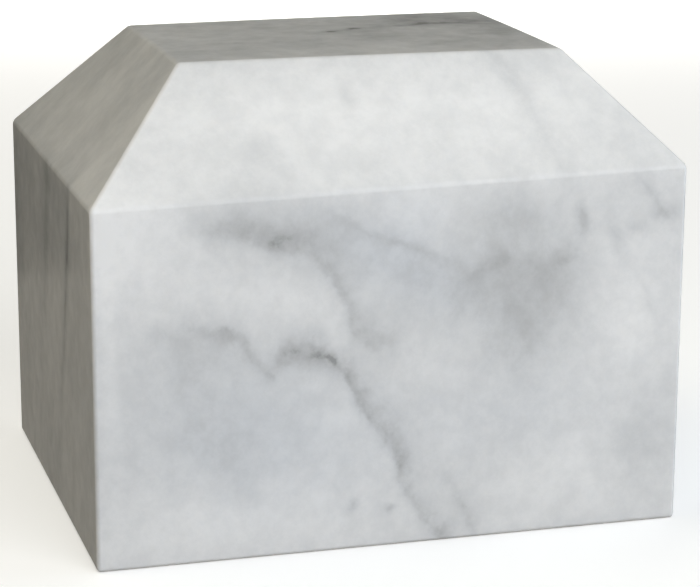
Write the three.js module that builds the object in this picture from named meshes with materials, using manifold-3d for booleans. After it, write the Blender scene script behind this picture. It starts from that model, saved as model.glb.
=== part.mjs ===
// A marble cremation urn: one block with a chamfered top, hollowed from below and closed by a base plate.
// Millimetres, +Z up. The front faces -Y, and the origin is the middle of the underside.
import * as THREE from "three";
import { ConvexGeometry } from "three/addons/geometries/ConvexGeometry.js";
import { mergeVertices } from "three/addons/utils/BufferGeometryUtils.js";
import Module from "manifold-3d";

// Driving dimensions of the block
const WIDTH = 254;
const DEPTH = 200;
const HEIGHT = 201;
const SHOULDER_LEFT = 151.3; // where the upright faces end, at the left end of the block
const SHOULDER_RIGHT = 156.4; // and at the right end: the shoulder line was cut a little out of level
const SIDE_SLOPE = THREE.MathUtils.degToRad(47); // left and right chamfers, above the horizontal
const FRONT_SLOPE = THREE.MathUtils.degToRad(46); // front and back chamfers
const ARRIS_RADIUS = 2.5; // every outside edge is eased and polished

// Driving dimensions of the hollow
const WALL = 28;
const CHAMBER_CORNER = 6; // inside corners, left by the cutter
const BELOW_BASE = 10; // how far the cutting solids reach out of the underside

// Driving dimensions of the base plate and the rebate that it sits in
const PLATE_THICKNESS = 12;
const PLATE_RECESS = 1; // the plate stays this far above the surface, so the walls carry the block
const PLATE_JOINT = 0.5; // sealant line around and above the plate
const PLATE_CORNER = 10;
const PLATE_EASE = 0.8; // chamfer along the plate's edges
const LEDGE = 9; // width of the ledge that the plate bears against

const ROUND_STEPS = 4; // facets across a rounded edge
const SAME_POINT = 0.1; // corners closer than this are one corner
const WELD = 1e-4; // vertices closer than this are one vertex
const PARALLEL = 1e-6; // a smaller determinant means that planes share a direction

const wasm = await Module();
wasm.setup();

// Half-spaces of a block with four chamfers around its top. Each plane's normal points out of the block.
function blockPlanes({ width, depth, base, top, shoulderLeft, shoulderRight }) {
  const side = Math.tan(SIDE_SLOPE);
  const front = Math.tan(FRONT_SLOPE);
  const climb = (shoulderRight - shoulderLeft) / width;
  const shoulderMiddle = (shoulderLeft + shoulderRight) / 2;
  const plane = (x, y, z, point) =>
    new THREE.Plane().setFromNormalAndCoplanarPoint(new THREE.Vector3(x, y, z).normalize(), point);
  const corner = (x, y, z) => new THREE.Vector3((x * width) / 2, (y * depth) / 2, z);
  return [
    plane(0, 0, -1, corner(0, 0, base)),
    plane(0, 0, 1, corner(0, 0, top)),
    plane(-1, 0, 0, corner(-1, 0, base)),
    plane(1, 0, 0, corner(1, 0, base)),
    plane(0, -1, 0, corner(0, -1, base)),
    plane(0, 1, 0, corner(0, 1, base)),
    plane(-side, 0, 1, corner(-1, 0, shoulderLeft)),
    plane(side, 0, 1, corner(1, 0, shoulderRight)),
    plane(-climb, -front, 1, corner(0, -1, shoulderMiddle)),
    plane(-climb, front, 1, corner(0, 1, shoulderMiddle)),
  ];
}

// The point that three planes share, or null where two of them are parallel.
function meetingPoint(a, b, c) {
  const matrix = new THREE.Matrix3().set(...a.normal, ...b.normal, ...c.normal);
  if (Math.abs(matrix.determinant()) < PARALLEL) return null;
  return new THREE.Vector3(-a.constant, -b.constant, -c.constant).applyMatrix3(matrix.invert());
}

// Every corner of the solid that the planes enclose.
function cornersOf(planes) {
  const corners = [];
  planes.forEach((a, i) =>
    planes.slice(i + 1).forEach((b, j) =>
      planes.slice(i + j + 2).forEach((c) => {
        const point = meetingPoint(a, b, c);
        const inside = point && planes.every((p) => p.distanceToPoint(point) < SAME_POINT);
        if (inside && !corners.some((q) => q.distanceTo(point) < SAME_POINT)) corners.push(point);
      }),
    ),
  );
  return corners;
}

// Directions from one normal to another, and across the patch between three of them.
function blends(a, b, c) {
  const directions = [];
  for (let i = 0; i <= ROUND_STEPS; i++)
    for (let j = 0; j <= ROUND_STEPS - i; j++) {
      const share = [i, j, ROUND_STEPS - i - j];
      const direction = new THREE.Vector3();
      [a, b, c].forEach((normal, k) => direction.addScaledVector(normal, share[k]));
      directions.push(direction.normalize());
    }
  return directions;
}

// Moves a point that stands out of the planes by a trace back onto them.
function keepWithin(planes, point) {
  for (const plane of planes) {
    const over = plane.distanceToPoint(point);
    if (over > 0) point.addScaledVector(plane.normal, -over);
  }
}

// The solid that the planes enclose, with every edge and corner rounded to one radius.
function roundedBlock(planes, radius) {
  const core = planes.map((p) => new THREE.Plane(p.normal, p.constant + radius));
  const points = [];
  for (const corner of cornersOf(core)) {
    const normals = core
      .filter((p) => Math.abs(p.distanceToPoint(corner)) < SAME_POINT)
      .map((p) => p.normal);
    for (let i = 0; i < normals.length; i++)
      for (let j = i + 1; j < normals.length; j++)
        for (let k = j + 1; k < normals.length; k++)
          for (const direction of blends(normals[i], normals[j], normals[k])) {
            const point = corner.clone().addScaledVector(direction, radius);
            keepWithin(planes, point);
            if (!points.some((q) => q.distanceTo(point) < SAME_POINT)) points.push(point);
          }
  }
  return new ConvexGeometry(points);
}

// A flat slab with rounded corners in plan, from z = bottom up, with its edges eased where asked.
function roundedSlab({ width, depth, bottom, thickness, corner, ease = 0 }) {
  const x = width / 2 - ease;
  const y = depth / 2 - ease;
  const outline = new THREE.Shape()
    .moveTo(corner - x, -y)
    .lineTo(x - corner, -y)
    .absarc(x - corner, corner - y, corner, -Math.PI / 2, 0)
    .lineTo(x, y - corner)
    .absarc(x - corner, y - corner, corner, 0, Math.PI / 2)
    .lineTo(corner - x, y)
    .absarc(corner - x, y - corner, corner, Math.PI / 2, Math.PI)
    .lineTo(-x, corner - y)
    .absarc(corner - x, corner - y, corner, Math.PI, 1.5 * Math.PI);
  return new THREE.ExtrudeGeometry(outline, {
    depth: thickness - 2 * ease,
    bevelEnabled: ease > 0,
    bevelThickness: ease,
    bevelSize: ease,
    bevelSegments: 1,
    curveSegments: 2 * ROUND_STEPS,
  }).translate(0, 0, bottom + ease);
}

function solidOf(geometry) {
  const bare = geometry.clone().deleteAttribute("normal").deleteAttribute("uv");
  const merged = mergeVertices(bare, WELD);
  return new wasm.Manifold(
    new wasm.Mesh({
      numProp: 3,
      vertProperties: merged.attributes.position.array,
      triVerts: new Uint32Array(merged.index.array),
    }),
  );
}

function geometryOf(solid) {
  const { vertProperties, triVerts } = solid.getMesh();
  const geometry = new THREE.BufferGeometry();
  geometry.setAttribute("position", new THREE.BufferAttribute(vertProperties, 3));
  geometry.setIndex(new THREE.BufferAttribute(triVerts, 1));
  const faceted = geometry.toNonIndexed();
  faceted.computeVertexNormals();
  return faceted;
}

const chamberWidth = WIDTH - 2 * WALL;
const chamberDepth = DEPTH - 2 * WALL;
const chamberTop = HEIGHT - WALL;
// A wall of even thickness turns in under the chamfer a little below the outside shoulder.
const chamberShoulder = SHOULDER_LEFT - WALL * Math.tan((Math.PI / 2 - FRONT_SLOPE) / 2);
const rebateWidth = chamberWidth + 2 * LEDGE;
const rebateDepth = chamberDepth + 2 * LEDGE;
const rebateTop = PLATE_RECESS + PLATE_THICKNESS + PLATE_JOINT;

function urnBody() {
  const block = roundedBlock(
    blockPlanes({
      width: WIDTH,
      depth: DEPTH,
      base: 0,
      top: HEIGHT,
      shoulderLeft: SHOULDER_LEFT,
      shoulderRight: SHOULDER_RIGHT,
    }),
    ARRIS_RADIUS,
  );
  const chamber = roundedBlock(
    blockPlanes({
      width: chamberWidth,
      depth: chamberDepth,
      base: -BELOW_BASE,
      top: chamberTop,
      shoulderLeft: chamberShoulder,
      shoulderRight: chamberShoulder,
    }),
    CHAMBER_CORNER,
  );
  const rebate = roundedSlab({
    width: rebateWidth,
    depth: rebateDepth,
    bottom: -BELOW_BASE,
    thickness: BELOW_BASE + rebateTop,
    corner: PLATE_CORNER + PLATE_JOINT,
  });
  return geometryOf(solidOf(block).subtract(solidOf(chamber)).subtract(solidOf(rebate)));
}

function basePlate() {
  return roundedSlab({
    width: rebateWidth - 2 * PLATE_JOINT,
    depth: rebateDepth - 2 * PLATE_JOINT,
    bottom: PLATE_RECESS,
    thickness: PLATE_THICKNESS,
    corner: PLATE_CORNER,
    ease: PLATE_EASE,
  });
}

const polishedMarble = new THREE.MeshStandardMaterial({ color: 0xdcdddd, roughness: 0.15, metalness: 0 });
const honedMarble = new THREE.MeshStandardMaterial({ color: 0xd2d3d2, roughness: 0.5, metalness: 0 });

const urn = new THREE.Group();
const body = new THREE.Mesh(urnBody(), polishedMarble);
body.name = "urn_body";
const plate = new THREE.Mesh(basePlate(), honedMarble);
plate.name = "base_plate";
urn.add(body, plate);

export default urn;
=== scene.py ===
import math

import bmesh
import bpy
from mathutils import Matrix, Vector


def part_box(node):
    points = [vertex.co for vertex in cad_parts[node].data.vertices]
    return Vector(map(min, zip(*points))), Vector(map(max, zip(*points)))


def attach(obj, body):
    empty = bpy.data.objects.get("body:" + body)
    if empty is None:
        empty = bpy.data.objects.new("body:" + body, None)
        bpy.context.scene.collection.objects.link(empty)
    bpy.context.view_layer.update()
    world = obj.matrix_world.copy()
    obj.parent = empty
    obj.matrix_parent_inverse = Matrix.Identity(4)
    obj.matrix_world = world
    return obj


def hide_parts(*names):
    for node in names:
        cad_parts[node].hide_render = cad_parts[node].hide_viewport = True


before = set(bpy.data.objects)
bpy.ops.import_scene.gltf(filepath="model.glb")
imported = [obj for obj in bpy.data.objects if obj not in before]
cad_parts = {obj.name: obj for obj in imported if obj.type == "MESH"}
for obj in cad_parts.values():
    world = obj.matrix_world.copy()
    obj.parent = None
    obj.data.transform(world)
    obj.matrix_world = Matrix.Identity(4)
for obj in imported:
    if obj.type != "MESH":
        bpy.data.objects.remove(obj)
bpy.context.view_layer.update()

mm = 0.001  # sizes below are in millimetres, Blender works in metres
print("frame loaded")

# the camera stands where the picture was taken from
view = {
    "place": (-296.8, -1056.0, 371.9),
    "azimuth": -16.13,
    "elevation": 14.69,
    "roll": 0.28,
    "lens": 129.6,
}


def placeCamera():
    az, el, roll = (math.radians(view[k]) for k in ("azimuth", "elevation", "roll"))
    ahead = Vector((-math.sin(az) * math.cos(el), math.cos(az) * math.cos(el), -math.sin(el)))
    right = Vector((math.cos(az), math.sin(az), 0))
    up = right.cross(ahead)
    tilt = Matrix.Rotation(-roll, 3, ahead)
    data = bpy.data.cameras.new("camera")
    data.lens = view["lens"]
    data.sensor_width = 36
    camera = bpy.data.objects.new("camera", data)
    turn = Matrix((tilt @ right, tilt @ up, -ahead)).transposed()
    camera.matrix_world = Matrix.Translation(Vector(view["place"]) * mm) @ turn.to_4x4()
    bpy.context.collection.objects.link(camera)
    bpy.context.scene.camera = camera


placeCamera()
print("camera placed")

# node helpers: a value is a number or a socket


def join(tree, value, socket):
    if isinstance(value, bpy.types.NodeSocket):
        tree.links.new(value, socket)
    else:
        socket.default_value = value


def calc(tree, kind, *values, clamp=False):
    node = tree.nodes.new("ShaderNodeMath")
    node.operation = kind
    node.use_clamp = clamp
    for value, socket in zip(values, node.inputs):
        join(tree, value, socket)
    return node.outputs[0]


def calcVector(tree, kind, *values):
    node = tree.nodes.new("ShaderNodeVectorMath")
    node.operation = kind
    for value, socket in zip(values, node.inputs):
        join(tree, value, socket)
    return node.outputs["Value" if kind in ("DOT_PRODUCT", "LENGTH") else "Vector"]


def scaled(tree, vector, factor):
    node = tree.nodes.new("ShaderNodeVectorMath")
    node.operation = "SCALE"
    join(tree, vector, node.inputs[0])
    join(tree, factor, node.inputs["Scale"])
    return node.outputs["Vector"]


def total(tree, values):
    result = values[0]
    for value in values[1:]:
        result = calc(tree, "ADD", result, value)
    return result


def ease(tree, value, low, high, start=0.0, end=1.0):  # smooth step between two values
    node = tree.nodes.new("ShaderNodeMapRange")
    node.interpolation_type = "SMOOTHSTEP"
    for name, number in zip(("From Min", "From Max", "To Min", "To Max"), (low, high, start, end)):
        node.inputs[name].default_value = number
    join(tree, value, node.inputs["Value"])
    return node.outputs["Result"]


def noise(tree, place, size, detail=3.0, rough=0.55, colour=False):  # size of a blotch in mm
    node = tree.nodes.new("ShaderNodeTexNoise")
    node.inputs["Scale"].default_value = 1 / size
    node.inputs["Detail"].default_value = detail
    node.inputs["Roughness"].default_value = rough
    join(tree, place, node.inputs["Vector"])
    return node.outputs["Color" if colour else "Fac"]


def shaken(tree, place, askew, size, reach, detail, rough=0.55):  # the place, pushed about by noise
    push = noise(tree, askew, size, detail, rough, colour=True)
    push = calcVector(tree, "SUBTRACT", push, (0.5, 0.5, 0.5))
    return calcVector(tree, "ADD", place, scaled(tree, push, 2 * reach))


def curve(tree, value, points):  # a curve drawn through given points, all within 0 and 1
    node = tree.nodes.new("ShaderNodeFloatCurve")
    line = node.mapping.curves[0]
    while len(line.points) < len(points):
        line.points.new(0.5, 0.5)
    for spot, (across, height) in zip(line.points, points):
        spot.location = (across, height)
        spot.handle_type = "AUTO_CLAMPED"
    node.mapping.update()
    join(tree, value, node.inputs["Value"])
    return node.outputs[0]


# the stone's figure, in mm. A vein is drawn on one face as points (across, up, strength, half width);
# soft says how much wider it fades on its upper side, core how dark the thread in its middle is
veins = {
    "front": {
        "leftHump": {
            "points": [(-108, 98, 0.06, 8), (-92, 101, 0.18, 9), (-80, 99, 0.26, 8), (-70, 97, 0.4, 6),
                       (-61, 88, 0.34, 5), (-52, 76, 0.14, 5)],
            "soft": 0.7, "core": 0.45,
        },
        "mainHump": {
            "points": [(-56, 83, 0.08, 6), (-49, 86, 0.4, 7), (-41, 88, 0.46, 7), (-33, 87, 0.46, 6.5),
                       (-24, 81, 0.16, 5)],
            "soft": 0.9, "core": 0.4,
        },
        "mainFall": {
            "points": [(-34, 89, 0.1, 5), (-24, 81, 0.44, 4), (-17.6, 71, 0.44, 3.5),
                       (-11.7, 59, 0.42, 3.5), (-2, 45.5, 0.46, 3.6), (2, 37.6, 0.5, 3.6),
                       (3.5, 27, 0.3, 3.4), (8, 18, 0.32, 3.4), (15.6, 7, 0.38, 4), (20, -1, 0.42, 4)],
            "soft": 2.6, "core": 0.5,
        },
        "upperFall": {
            "points": [(-92, 144, 0.05, 7), (-82, 142, 0.16, 7), (-68, 139, 0.3, 7), (-57, 136.5, 0.3, 7),
                       (-49, 133, 0.38, 7), (-35, 128, 0.34, 6.5), (-29, 118.5, 0.36, 5),
                       (-21.5, 107, 0.38, 4), (-14.6, 95, 0.32, 4.5), (-6, 89, 0.26, 7), (4, 85, 0.06, 8)],
            "soft": 2.0, "core": 0.4,
        },
        "softEdge": {
            "points": [(-32, 147, 0.05, 3), (-23, 142, 0.13, 3), (-14, 137, 0.18, 2.8),
                       (-2, 131, 0.18, 2.8), (14, 123.4, 0.17, 3), (27, 118.5, 0.12, 4)],
            "soft": 0.8, "core": 0.3,
        },
        "greyRidge": {
            "points": [(20, 111, 0.06, 8), (33, 114, 0.14, 8), (43, 121, 0.26, 8), (53, 119, 0.18, 8),
                       (63, 117, 0.18, 8), (73, 119, 0.25, 7), (84, 121, 0.05, 7)],
            "soft": 0.7, "core": 0.35,
        },
        "chamferBand": {
            "points": [(50, 203, 0.2, 5), (58, 193, 0.24, 5), (62, 183, 0.22, 4), (66, 172, 0.2, 5),
                       (70, 160, 0.16, 5), (77, 147, 0.08, 4)],
            "soft": 1.2, "core": 0.3,
        },
        "rightFaint": {
            "points": [(105, 117, 0.05, 2), (109, 107, 0.13, 2), (113, 97, 0.15, 2), (116.5, 83, 0.05, 2)],
            "soft": 1.2, "core": 0.3,
        },
        "cornerStripe": {
            "points": [(104, 155, 0.12, 3), (110, 147, 0.2, 3), (116, 137, 0.16, 3)],
            "soft": 1.0, "core": 0.3,
        },
        "lowSide": {
            "points": [(17, 36, 0.03, 4), (23.4, 26, 0.14, 3.4), (29.3, 16, 0.24, 3.2),
                       (34.5, 1, 0.22, 3.4)],
            "soft": 1.4, "core": 0.5,
        },
        "blueLane": {
            "points": [(-94, 82, 0.06, 10), (-84, 62, 0.08, 9), (-73, 44, 0.08, 9), (-58, 27, 0.03, 10)],
            "soft": 1.3, "core": 0.0,
        },
    },
    "left": {
        "mainStreak": {
            "points": [(-52, 152, 0.3, 3), (-45, 125, 0.45, 3), (-35, 86, 0.4, 3.5), (-20, 49, 0.25, 4),
                       (-10, 10, 0.1, 5)],
            "soft": 1.4, "core": 0.2,
        },
        "middleStreak": {
            "points": [(0, 152, 0.35, 6), (8, 125, 0.4, 6), (13, 100, 0.3, 5), (20, 70, 0.1, 6)],
            "soft": 1.2, "core": 0.1,
        },
    },
    "top": {
        "darkStreak": {
            "points": [(-8, 6, 0.04, 3), (6, 12, 0.15, 3), (22, 17, 0.2, 4), (42, 21, 0.45, 5.5),
                       (64, 22, 0.3, 5), (84, 24, 0.15, 6)],
            "soft": 1.0, "core": 0.3,
        },
    },
}

# soft patches on a face: across, up, half width, half height, turn in degrees, grey added;
# a negative grey makes the stone whiter. Most patches are stone tone; the ones marked painted highlight or
# painted shade stand in for light
clouds = {
    "front": {
        "greyLeftHalf": (43, 108, 21, 17, -20, 0.23),
        "greyRightHalf": (67, 106, 20, 18, 10, 0.23),
        "greyTail": (54, 86, 17, 17, 0, 0.19),
        "greyShoulder": (53, 137, 22, 13, 0, 0.22),
        "betweenVeins": (3, 118, 28, 13, -28, 0.17),
        "bandHaze": (-55, 136, 26, 6, -15, 0.13),
        "upperHaze": (-42, 141, 42, 12, -12, 0.17),
        "underHump": (-84, 88, 30, 12, -12, 0.15),
        "blueLower": (-66, 52, 66, 36, -10, 0.09),
        "blotRight": (81, 137, 3.4, 9, 4, 0.34),
        "blotSide": (95.5, 128, 3, 8, 20, 0.18),
        "blotEdge": (117, 135, 7, 4.5, 5, 0.36),
        "blotLow": (104, 131, 7, 3.5, -10, 0.24),
        "greyCorner": (108.5, 36, 15, 14, 0, 0.22),
        "speckLeft": (-19, 20, 2.4, 3.4, 0, 0.36),
        "speckRight": (-3, 18, 3, 2.5, 0, 0.32),
        "whiteCorner": (-116, 140, 32, 24, 0, -0.3),
        "whiteBand": (-66, 112, 38, 9, -14, -0.1),
        "whiteBandRight": (-40, 108, 22, 10, -30, -0.08),
        "whiteMiddle": (12, 88, 22, 16, -20, -0.06),
        "whiteRight": (104, 94, 20, 34, 8, -0.26),
        "whiteLow": (72, 26, 32, 20, 0, -0.14),
        "lightShoulder": (8, 143, 16, 12, -20, -0.12),
        "lightLane": (-22, 60, 12, 24, -25, -0.08),
        "whiteLowLeft": (-70, 18, 58, 20, 0, -0.18),
        # painted highlight: whitens a thin strip down the front's left upright edge, where light catches
        # the eased edge
        "paintedEdgeHighlight": (-121, 95, 4.5, 62, 0, -0.14),
        "whiteChamfer": (-10, 182, 150, 28, 0, -0.27),
        "chamferBlot": (-53, 168, 8, 8, 25, 0.17),
        "chamferSpot": (-13, 187, 3.5, 6, 0, 0.18),
    },
    "left": {
        # painted shade: darkens the back of the left face, where the light falls off
        "paintedBackShade": (88, 112, 22, 50, 12, 0.2),
        "spot": (44, 40, 5, 3, 20, 0.2),
    },
    "top": {
        "greyRight": (72, 4, 24, 60, 0, 0.12),
        "greyAll": (0, 0, 120, 90, 0, 0.1),
        "spotLeft": (1.5, 10, 3, 2.8, 0, 0.45),
        "spotRight": (14, 15.5, 3.4, 2.8, 0, 0.4),
    },
}

# patches where the stone turns bluish, drawn like the clouds
blues = {
    "lower": (-55, 50, 60, 36, -10, 0.9),
    "between": (0, 122, 40, 16, -28, 0.9),
    "shoulder": (8, 143, 16, 12, -20, 0.5),
    "rightLow": (50, 55, 50, 22, 0, 0.4),
}

# the two axes that a face is drawn on, and the axis and span in mm over which its drawing fades in
faces = {
    "front": ((1, 0, 0), (0, 0, 1), (0, 1, 0), -44, -60),
    "left": ((0, 1, 0), (0, 0, 1), (1, 0, 0), -92, -116),
    "top": ((1, 0, 0), (0, 1, 0), (0, 0, 1), 184, 197),
}

marble = {
    "white": (0.86, 0.858, 0.85, 1),
    "cool": (0.645, 0.652, 0.656, 1),
    "grey": (0.475, 0.48, 0.482, 1),
    "dark": (0.33, 0.332, 0.33, 1),
    "blueTurn": (-0.018, 0.0, 0.03),  # how a bluish patch changes the colour
    "ground": 0.33,  # how grey the plain stone is, from 0 white to 1 dark
    "lean": 0.3,  # the bed runs back by this much for each unit down
    "roughness": 0.22,
    "honedRoughness": 0.5,
    "shine": 0.12,
    "glow": 0.7,  # share of light that goes through the stone
    "glowDepth": 5.0,
}

grain = {  # size in mm of the blotches in each noise
    "waves": 26,
    "ragged": 8,
    "knots": 6,
    "drift": 50,
    "mottle": 10,
    "streaks": 22,
    "fineStreaks": 7,
    "wear": 9,
    "dents": 26,
    "strays": 95,
    "strayParts": 60,
}

brush = {  # how the veins and clouds fade; the sharper, the narrower
    "vein": 0.8,
    "thread": 4.0,
    "cloud": 1.2,
    "widest": 10.0,
    "endOut": 0.08,  # a vein fades over this share of its length beyond its ends
    "endIn": 0.05,  # and over this share within them
    "strayLine": 24.0,
    "strayHaze": 8.0,
}


def onFace(tree, place, face):  # where a place lies on a face's drawing
    across, up = faces[face][:2]
    node = tree.nodes.new("ShaderNodeCombineXYZ")
    join(tree, calcVector(tree, "DOT_PRODUCT", place, across), node.inputs["X"])
    join(tree, calcVector(tree, "DOT_PRODUCT", place, up), node.inputs["Y"])
    return node.outputs[0]


def bell(tree, ratio, sharpness):
    squared = calc(tree, "MULTIPLY", ratio, ratio)
    return calc(tree, "EXPONENT", calc(tree, "MULTIPLY", squared, -sharpness))


def vein(tree, spot, knots, spec):
    points = [Vector(p[:2]) for p in spec["points"]]
    strengths = [p[2] for p in spec["points"]]
    widths = [p[3] for p in spec["points"]]
    length = (points[-1] - points[0]).length
    along = (points[-1] - points[0]) / length
    across = Vector((-along.y, along.x)) * (1 if along.x > 0 else -1)
    reach = [(p - points[0]).dot(along) / length for p in points]
    offset = [(p - points[0]).dot(across) for p in points]
    low = min(offset) - 1
    span = max(offset) + 1 - low
    fromStart = calcVector(tree, "SUBTRACT", spot, (*points[0], 0))
    position = calcVector(tree, "DOT_PRODUCT", fromStart, (*(along / length), 0))
    side = calcVector(tree, "DOT_PRODUCT", fromStart, (*across, 0))
    path = curve(tree, position, [(r, (o - low) / span) for r, o in zip(reach, offset)])
    strength = curve(tree, position, list(zip(reach, strengths)))
    widest = brush["widest"]
    width = curve(tree, position, [(r, w / widest) for r, w in zip(reach, widths)])
    width = calc(tree, "MULTIPLY", width, widest)
    apart = calc(tree, "SUBTRACT", side, calc(tree, "MULTIPLY_ADD", path, span, low))
    isAbove = calc(tree, "GREATER_THAN", apart, 0.0)
    width = calc(tree, "MULTIPLY", width, calc(tree, "MULTIPLY_ADD", isAbove, spec["soft"] - 1, 1.0))
    ratio = calc(tree, "DIVIDE", apart, width)
    thread = calc(tree, "MULTIPLY", bell(tree, ratio, brush["thread"]), knots)
    thread = calc(tree, "MULTIPLY", thread, spec["core"])
    shade = calc(tree, "MULTIPLY_ADD", bell(tree, ratio, brush["vein"]), 1 - spec["core"], thread)
    start = ease(tree, position, -brush["endOut"], brush["endIn"])
    end = ease(tree, position, 1 + brush["endOut"], 1 - brush["endIn"])
    ends = calc(tree, "MULTIPLY", start, end)
    return calc(tree, "MULTIPLY", calc(tree, "MULTIPLY", shade, strength), ends)


def cloud(tree, spot, spec):
    across, up, wide, high, turn, grey = spec
    turn = math.radians(turn)
    fromMiddle = calcVector(tree, "SUBTRACT", spot, (across, up, 0))
    u = calcVector(tree, "DOT_PRODUCT", fromMiddle, (math.cos(turn) / wide, math.sin(turn) / wide, 0))
    v = calcVector(tree, "DOT_PRODUCT", fromMiddle, (-math.sin(turn) / high, math.cos(turn) / high, 0))
    apart = calc(tree, "MULTIPLY_ADD", u, u, calc(tree, "MULTIPLY", v, v))
    fall = calc(tree, "EXPONENT", calc(tree, "MULTIPLY", apart, -brush["cloud"]))
    return calc(tree, "MULTIPLY", fall, grey)


def faceDrawing(tree, face, wavy, ragged, knots):
    spot = onFace(tree, ragged, face)
    parts = [vein(tree, spot, knots, spec) for spec in veins[face].values()]
    parts += [cloud(tree, spot, spec) for spec in clouds[face].values()]
    inward, start, end = faces[face][2:]
    shown = ease(tree, calcVector(tree, "DOT_PRODUCT", wavy, inward), start, end)
    return calc(tree, "MULTIPLY", total(tree, parts), shown), shown


def bedStreaks(tree, place, size):  # the bed shows as long streaks on the sides and the top
    lean = marble["lean"]
    rows = ((0.25, 0, 0), (0, 1, lean), (0, -0.16 * lean, 0.16))
    node = tree.nodes.new("ShaderNodeCombineXYZ")
    for row, socket in zip(rows, node.inputs):
        join(tree, calcVector(tree, "DOT_PRODUCT", place, row), socket)
    return noise(tree, node.outputs[0], size, 2.0, 0.6)


def strayVeins(tree, place):  # plainer veins for the back and the right
    ridge = calc(tree, "SUBTRACT", noise(tree, place, grain["strays"], 2.0, 0.5), 0.5)
    line = bell(tree, calc(tree, "MULTIPLY", ridge, brush["strayLine"]), 1.0)
    haze = bell(tree, calc(tree, "MULTIPLY", ridge, brush["strayHaze"]), 1.0)
    part = ease(tree, noise(tree, place, grain["strayParts"], 0.0), 0.4, 0.65)
    line = calc(tree, "MULTIPLY", line, part)
    return calc(tree, "MULTIPLY_ADD", line, 0.22, calc(tree, "MULTIPLY", haze, 0.18))


def makeMarble(name, roughness, drawnFaces):
    material = bpy.data.materials.new(name)
    material.use_nodes = True
    tree = material.node_tree
    shader = tree.nodes["Principled BSDF"]
    where = tree.nodes.new("ShaderNodeTexCoord").outputs["Object"]
    place = scaled(tree, where, 1 / mm)
    turned = tree.nodes.new("ShaderNodeVectorRotate")  # keeps the noise's own grid off the faces
    turned.rotation_type = "EULER_XYZ"
    turned.inputs["Rotation"].default_value = (0.6, 0.4, 0.9)
    join(tree, place, turned.inputs["Vector"])
    askew = turned.outputs["Vector"]
    wavy = shaken(tree, place, askew, grain["waves"], 4.0, 1.0)
    ragged = shaken(tree, wavy, askew, grain["ragged"], 3.0, 3.0, 0.68)
    knots = ease(tree, noise(tree, askew, grain["knots"], 3.0), 0.3, 0.7, 0.3, 1.4)
    drawn = {face: faceDrawing(tree, face, wavy, ragged, knots) for face in drawnFaces}
    onFront = drawn["front"][1] if "front" in drawn else 0.0
    drift = ease(tree, noise(tree, askew, grain["drift"], 2.0), 0.3, 0.7, -0.1, 0.12)
    mottle = ease(tree, noise(tree, askew, grain["mottle"], 5.0, 0.7), 0.25, 0.75, -0.1, 0.1)
    streaks = ease(tree, bedStreaks(tree, wavy, grain["streaks"]), 0.35, 0.75, -0.03, 0.11)
    fineStreaks = ease(tree, bedStreaks(tree, ragged, grain["fineStreaks"]), 0.45, 0.8, 0.0, 0.06)
    behind = calc(tree, "SUBTRACT", 1.0, onFront)
    drift = calc(tree, "MULTIPLY", drift, calc(tree, "MULTIPLY_ADD", behind, 0.6, 0.4))
    bed = calc(tree, "ADD", streaks, fineStreaks)
    bed = calc(tree, "MULTIPLY", bed, calc(tree, "MULTIPLY_ADD", behind, 0.75, 0.25))
    toBack = ease(tree, calcVector(tree, "DOT_PRODUCT", wavy, (0.7, 0.7, 0)), 30, 75)
    stray = calc(tree, "MULTIPLY", strayVeins(tree, wavy), calc(tree, "MULTIPLY", toBack, behind))
    grey = total(tree, [drawing for drawing, shown in drawn.values()] + [drift, mottle, bed, stray])
    grey = calc(tree, "ADD", grey, marble["ground"], clamp=True)
    ramp = tree.nodes.new("ShaderNodeValToRGB")
    stops = ((0.0, "white"), (0.5, "cool"), (0.85, "grey"), (1.0, "dark"))
    while len(ramp.color_ramp.elements) < len(stops):
        ramp.color_ramp.elements.new(0.5)
    for spot, (position, tone) in zip(ramp.color_ramp.elements, stops):
        spot.position = position
        spot.color = marble[tone]
    tree.links.new(grey, ramp.inputs["Fac"])
    spot = onFace(tree, ragged, "front")
    bluish = total(tree, [cloud(tree, spot, spec) for spec in blues.values()])
    bluish = calc(tree, "MULTIPLY", bluish, onFront)
    turn = calcVector(tree, "ADD", scaled(tree, marble["blueTurn"], bluish), (1, 1, 1))
    colour = calcVector(tree, "MULTIPLY", ramp.outputs["Color"], turn)
    tree.links.new(colour, shader.inputs["Base Color"])
    worn = ease(tree, noise(tree, askew, grain["wear"], 2.0), 0.3, 0.7, roughness * 0.85, roughness * 1.2)
    tree.links.new(worn, shader.inputs["Roughness"])
    shader.inputs["Specular IOR Level"].default_value = marble["shine"]
    shader.subsurface_method = "BURLEY"
    shader.inputs["Subsurface Weight"].default_value = marble["glow"]
    shader.inputs["Subsurface Radius"].default_value = (1.0, 0.9, 0.75)
    shader.inputs["Subsurface Scale"].default_value = marble["glowDepth"] * mm
    bump = tree.nodes.new("ShaderNodeBump")
    bump.inputs["Strength"].default_value = 0.05
    bump.inputs["Distance"].default_value = 1 * mm
    tree.links.new(noise(tree, askew, grain["dents"], 1.0), bump.inputs["Height"])
    tree.links.new(bump.outputs["Normal"], shader.inputs["Normal"])
    return material


polished = makeMarble("polishedMarble", marble["roughness"], faces)
honed = makeMarble("honedMarble", marble["honedRoughness"], ())  # the plate lies below the drawn faces
print("marble mixed")

# the block, in mm
block = {
    "shoulderLeft": 151.3,
    "shoulderRight": 156.4,
    "sideSlope": 47,
    "frontSlope": 46,
    "arris": 1.9,  # how far the upright edges are eased, on either side
    "softArris": 0.7,  # share of that on the flatter edges around the top
    "grid": 9,  # spacing of the loops that let the faces bow
    "crown": 0.45,  # how far the top bows up in its middle
    "wall": 28,
    "belowBase": 10,  # how far the cutters reach out of the underside
    "chamberCorner": 6,
    "ledge": 9,
    "plateTop": 13.5,
    "rebateCorner": 10.5,
    "plateCorner": 10,
    "plateEase": 0.8,
}


def shoulderAt(x, halfWidth, left, right):
    return left + (right - left) * (x + halfWidth) / (2 * halfWidth)


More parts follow.
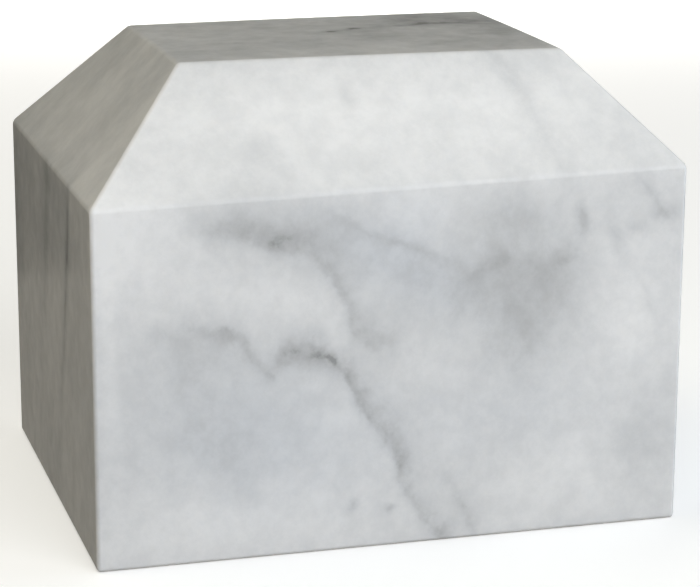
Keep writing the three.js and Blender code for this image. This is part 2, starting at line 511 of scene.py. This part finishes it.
def chamferedBlock(halfWidth, halfDepth, base, top, left, right):
    side = math.tan(math.radians(block["sideSlope"]))
    front = math.tan(math.radians(block["frontSlope"]))
    rings = [[], [], []]
    for sx, sy in ((-1, -1), (1, -1), (1, 1), (-1, 1)):
        shoulder = shoulderAt(sx * halfWidth, halfWidth, left, right)
        topX = sx * (halfWidth - (top - shoulder) / side)
        topY = sy * (halfDepth - (top - shoulderAt(topX, halfWidth, left, right)) / front)
        rings[0].append((sx * halfWidth, sy * halfDepth, base))
        rings[1].append((sx * halfWidth, sy * halfDepth, shoulder))
        rings[2].append((topX, topY, top))
    bm = bmesh.new()
    corners = [[bm.verts.new(Vector(p) * mm) for p in ring] for ring in rings]
    bm.faces.new(reversed(corners[0]))
    bm.faces.new(corners[2])
    for lower, upper in zip(corners, corners[1:]):
        for i in range(4):
            j = (i + 1) % 4
            bm.faces.new((lower[i], lower[j], upper[j], upper[i]))
    return bm


def objectFrom(name, bm):
    mesh = bpy.data.meshes.new(name)
    bm.to_mesh(mesh)
    bm.free()
    piece = bpy.data.objects.new(name, mesh)
    bpy.context.collection.objects.link(piece)
    return piece


def applied(piece):  # the mesh with its modifiers made real
    deps = bpy.context.evaluated_depsgraph_get()
    mesh = bpy.data.meshes.new_from_object(piece.evaluated_get(deps))
    piece.modifiers.clear()
    piece.data = mesh
    return piece


def easeEdges(piece, width, steps, flatShare):
    mesh = piece.data
    weights = mesh.attributes.new("bevel_weight_edge", "FLOAT", "EDGE")
    for edge in mesh.edges:
        low, high = (mesh.vertices[i].co for i in edge.vertices)
        onShoulder = min(low.z, high.z) > block["wall"] * mm
        weights.data[edge.index].value = flatShare if onShoulder else 1.0
    bevel = piece.modifiers.new("easedEdges", "BEVEL")
    bevel.limit_method = "WEIGHT"
    bevel.width = width * mm
    bevel.segments = steps
    return applied(piece)


def slab(halfWidth, halfDepth, bottom, top, corner, steps=8):
    bm = bmesh.new()
    ring = []
    for quarter in range(4):
        middle = Vector(((1, 1), (-1, 1), (-1, -1), (1, -1))[quarter])
        middle = Vector((middle.x * (halfWidth - corner), middle.y * (halfDepth - corner)))
        for i in range(steps + 1):
            angle = math.radians(90 * (quarter + i / steps))
            ring.append((middle.x + corner * math.cos(angle), middle.y + corner * math.sin(angle)))
    low = [bm.verts.new(Vector((x, y, bottom)) * mm) for x, y in ring]
    high = [bm.verts.new(Vector((x, y, top)) * mm) for x, y in ring]
    bm.faces.new(reversed(low))
    bm.faces.new(high)
    for i in range(len(ring)):
        j = (i + 1) % len(ring)
        bm.faces.new((low[i], low[j], high[j], high[i]))
    return bm


def addLoops(piece, spacing):
    bm = bmesh.new()
    bm.from_mesh(piece.data)
    low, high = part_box("urn_body")
    for axis in range(3):
        count = round((high[axis] - low[axis]) / (spacing * mm))
        normal = Vector([float(i == axis) for i in range(3)])
        for i in range(1, count):
            spot = low + (high - low) * (i / count)
            geom = bm.verts[:] + bm.edges[:] + bm.faces[:]
            bmesh.ops.bisect_plane(bm, geom=geom, dist=1e-6, plane_co=spot, plane_no=normal)
    bm.to_mesh(piece.data)
    bm.free()


def bowTop(piece, halfWidth, halfDepth, top):
    for vertex in piece.data.vertices:
        x, y, z = (c / mm for c in vertex.co)
        shoulder = shoulderAt(x, halfWidth, block["shoulderLeft"], block["shoulderRight"])
        rise = (z - shoulder) / (top - shoulder)
        if rise <= 0:
            continue
        reachX = halfWidth - (z - shoulder) / math.tan(math.radians(block["sideSlope"]))
        reachY = halfDepth - (z - shoulder) / math.tan(math.radians(block["frontSlope"]))
        bow = 2 - min(1, (x / reachX) ** 2) - min(1, (y / reachY) ** 2)
        vertex.co.z += block["crown"] * mm * bow / 2 * rise * rise * (3 - 2 * rise)


def cutBy(piece, cutter):
    cut = piece.modifiers.new("cut", "BOOLEAN")
    cut.operation = "DIFFERENCE"
    cut.solver = "EXACT"
    cut.object = cutter
    applied(piece)
    bpy.data.objects.remove(cutter)


def finishSurface(piece, sharpOver=40):
    bm = bmesh.new()
    bm.from_mesh(piece.data)
    for face in bm.faces:
        face.smooth = True
    for edge in bm.edges:
        edge.smooth = len(edge.link_faces) == 2 and edge.calc_face_angle() < math.radians(sharpOver)
    bm.to_mesh(piece.data)
    bm.free()
    even = piece.modifiers.new("evenNormals", "WEIGHTED_NORMAL")
    even.keep_sharp = True


def makeBody():
    low, high = (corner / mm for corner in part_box("urn_body"))
    halfWidth, halfDepth, top = high.x, high.y, high.z
    shoulders = block["shoulderLeft"], block["shoulderRight"]
    body = objectFrom("marbleBody", chamferedBlock(halfWidth, halfDepth, 0, top, *shoulders))
    easeEdges(body, block["arris"], 5, block["softArris"])
    addLoops(body, block["grid"])
    bowTop(body, halfWidth, halfDepth, top)
    wall = block["wall"]
    below = -block["belowBase"]
    turnIn = wall * math.tan(math.radians(90 - block["frontSlope"]) / 2)
    inner = block["shoulderLeft"] - turnIn
    hollow = chamferedBlock(halfWidth - wall, halfDepth - wall, below, top - wall, inner, inner)
    chamber = objectFrom("chamber", hollow)
    easeEdges(chamber, block["chamberCorner"], 4, 1.0)
    cutBy(body, chamber)
    ledge = wall - block["ledge"]
    seat = slab(halfWidth - ledge, halfDepth - ledge, below, block["plateTop"], block["rebateCorner"])
    cutBy(body, objectFrom("rebate", seat))
    finishSurface(body)
    body.data.materials.clear()
    body.data.materials.append(polished)
    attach(body, "root")
    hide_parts("urn_body")
    return body


def makePlate():
    low, high = (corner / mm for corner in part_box("base_plate"))
    plate = objectFrom("marblePlate", slab(high.x, high.y, low.z, high.z, block["plateCorner"]))
    bevel = plate.modifiers.new("easedEdges", "BEVEL")
    bevel.width = block["plateEase"] * mm
    bevel.segments = 3
    bevel.angle_limit = math.radians(50)
    applied(plate)
    finishSurface(plate)
    plate.data.materials.append(honed)
    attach(plate, "root")
    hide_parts("base_plate")
    return plate


body = makeBody()
plate = makePlate()
print("stone cut:", len(body.data.polygons), "faces on the body")

# floor and light
studio = {
    "floorSize": 8.0,
    "floorTone": (0.86, 0.86, 0.85, 1),
    "floorLift": 0.35,
    "skyHigh": (0.045, 0.044, 0.042, 1),
    "skyLow": (0.03, 0.029, 0.027, 1),
    "skySpan": (0.42, 0.9),  # where the sky's tone changes, from 0 straight down to 1 straight up
    "tableTone": (0.2, 0.188, 0.163, 1),
    "tableBack": 0.41,
    "tableDrop": 0.002,
}

lamps = {  # azimuth and elevation seen from the urn, distance, width and height in m, power in W, tone
    "key": (8, 24, 2.2, 3.0, 1.8, 50, (0.95, 0.972, 1.0)),
    "leftHigh": (-110, 59, 1.8, 1.5, 1.5, 12, (1.0, 0.935, 0.75)),
    "right": (78, 8, 1.5, 0.8, 0.8, 9, (0.74, 0.87, 1.0)),
    "back": (165, 3, 2.0, 1.6, 0.35, 24, (1.0, 0.98, 0.95)),
}


def flatSheet(name, x0, x1, y0, y1, z):
    bm = bmesh.new()
    bm.faces.new([bm.verts.new(p) for p in ((x0, y0, z), (x1, y0, z), (x1, y1, z), (x0, y1, z))])
    return objectFrom(name, bm)


def makeFloor():
    half = studio["floorSize"] / 2
    floor = flatSheet("floor", -half, half, -half, half, 0)
    material = bpy.data.materials.new("paleFloor")
    material.use_nodes = True
    shader = material.node_tree.nodes["Principled BSDF"]
    shader.inputs["Base Color"].default_value = studio["floorTone"]
    shader.inputs["Roughness"].default_value = 0.9
    shader.inputs["Specular IOR Level"].default_value = 0.1
    shader.inputs["Emission Color"].default_value = (1, 1, 1, 1)
    shader.inputs["Emission Strength"].default_value = studio["floorLift"]
    floor.data.materials.append(material)
    floor.visible_diffuse = False  # the stone is lit by the darker card below it
    floor.visible_glossy = False


def makeCard():
    half = studio["floorSize"] / 2
    card = flatSheet("bounceCard", -half, half, -half, studio["tableBack"], -studio["tableDrop"])
    material = bpy.data.materials.new("bounceTone")
    material.use_nodes = True
    tree = material.node_tree
    glow = tree.nodes.new("ShaderNodeEmission")
    glow.inputs["Color"].default_value = studio["tableTone"]
    tree.links.new(glow.outputs[0], tree.nodes["Material Output"].inputs["Surface"])
    card.data.materials.append(material)
    card.visible_camera = False
    card.visible_shadow = False


def makeSky():
    world = bpy.data.worlds.new("softRoom")
    world.use_nodes = True
    bpy.context.scene.world = world
    tree = world.node_tree
    direction = tree.nodes.new("ShaderNodeTexCoord").outputs["Generated"]
    height = calcVector(tree, "DOT_PRODUCT", direction, (0, 0, 1))
    ramp = tree.nodes.new("ShaderNodeValToRGB")
    ramp.color_ramp.elements[0].position = studio["skySpan"][0]
    ramp.color_ramp.elements[0].color = studio["skyLow"]
    ramp.color_ramp.elements[1].position = studio["skySpan"][1]
    ramp.color_ramp.elements[1].color = studio["skyHigh"]
    join(tree, calc(tree, "MULTIPLY_ADD", height, 0.5, 0.5), ramp.inputs["Fac"])
    join(tree, ramp.outputs["Color"], tree.nodes["Background"].inputs["Color"])


def makeLamps():
    middle = Vector((0, 0, 0.1))
    for name, (azimuth, elevation, distance, width, height, power, tone) in lamps.items():
        az, el = math.radians(azimuth), math.radians(elevation)
        away = Vector((math.sin(az) * math.cos(el), -math.cos(az) * math.cos(el), math.sin(el)))
        data = bpy.data.lights.new(name, "AREA")
        data.shape = "RECTANGLE"
        data.size = width
        data.size_y = height
        data.energy = power
        data.color = tone
        lamp = bpy.data.objects.new(name, data)
        lamp.location = middle + away * distance
        lamp.rotation_mode = "QUATERNION"
        lamp.rotation_quaternion = (-away).to_track_quat("-Z", "Y")
        lamp.visible_camera = False
        lamp.visible_glossy = name != "back"  # no glare on the top
        bpy.context.collection.objects.link(lamp)


makeFloor()
makeCard()
makeSky()
makeLamps()
bpy.context.scene.view_settings.view_transform = "Standard"
print("studio lit")
